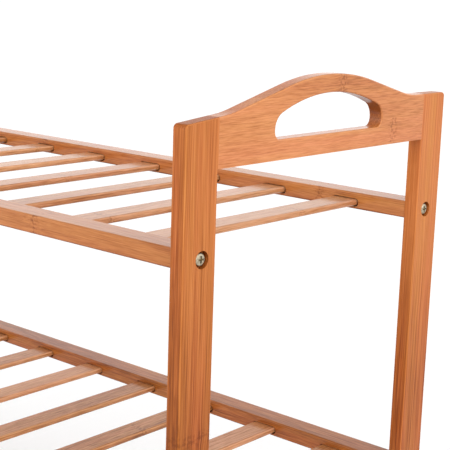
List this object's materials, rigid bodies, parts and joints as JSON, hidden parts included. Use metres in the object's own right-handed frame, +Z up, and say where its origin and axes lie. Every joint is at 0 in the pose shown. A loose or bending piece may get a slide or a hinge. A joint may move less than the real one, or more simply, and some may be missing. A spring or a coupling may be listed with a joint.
{
  "type": "slatted shoe bench",
  "caption": "Open bamboo bench with slatted seat and shoe tiers between post end frames, each closed at the top by an arched handle panel with a half-moon hand hole.",
  "frame": {"origin": "on the floor, under the middle of the bench", "axes": "+X along the bench to its right end, +Y from front to rear, +Z up"},
  "size_m": [0.91, 0.28, 0.56],
  "materials": {
    "post_bamboo": "satin lacquer",
    "panel_bamboo": "satin lacquer",
    "rail_bamboo": "satin lacquer",
    "slat_bamboo": "satin lacquer",
    "dowel_wood": "plain, glued in",
    "screw_steel": "yellow zinc plating over steel, satin"
  },
  "bodies": {
    "root": {"front_right_post": "post_bamboo", "front_left_post": "post_bamboo", "rear_right_post": "post_bamboo", "rear_left_post": "post_bamboo", "right_handle_panel": "panel_bamboo", "right_handle_dowels": "dowel_wood", "right_rail_screws": "screw_steel", "left_handle_panel": "panel_bamboo", "left_handle_dowels": "dowel_wood", "left_rail_screws": "screw_steel", "top_front_rail": "rail_bamboo", "top_rear_rail": "rail_bamboo", "top_slat_01": "slat_bamboo", "top_slat_02": "slat_bamboo", "top_slat_03": "slat_bamboo", "top_slat_04": "slat_bamboo", "top_slat_05": "slat_bamboo", "top_slat_06": "slat_bamboo", "top_slat_07": "slat_bamboo", "top_slat_08": "slat_bamboo", "top_slat_09": "slat_bamboo", "top_slat_10": "slat_bamboo", "top_slat_11": "slat_bamboo", "top_slat_12": "slat_bamboo", "middle_front_rail": "rail_bamboo", "middle_rear_rail": "rail_bamboo", "middle_slat_01": "slat_bamboo", "middle_slat_02": "slat_bamboo", "middle_slat_03": "slat_bamboo", "middle_slat_04": "slat_bamboo", "middle_slat_05": "slat_bamboo", "middle_slat_06": "slat_bamboo", "middle_slat_07": "slat_bamboo", "middle_slat_08": "slat_bamboo", "middle_slat_09": "slat_bamboo", "middle_slat_10": "slat_bamboo", "middle_slat_11": "slat_bamboo", "middle_slat_12": "slat_bamboo", "bottom_front_rail": "rail_bamboo", "bottom_rear_rail": "rail_bamboo", "bottom_slat_01": "slat_bamboo", "bottom_slat_02": "slat_bamboo", "bottom_slat_03": "slat_bamboo", "bottom_slat_04": "slat_bamboo", "bottom_slat_05": "slat_bamboo", "bottom_slat_06": "slat_bamboo", "bottom_slat_07": "slat_bamboo", "bottom_slat_08": "slat_bamboo", "bottom_slat_09": "slat_bamboo", "bottom_slat_10": "slat_bamboo", "bottom_slat_11": "slat_bamboo", "bottom_slat_12": "slat_bamboo"}
  },
  "joints": []
}
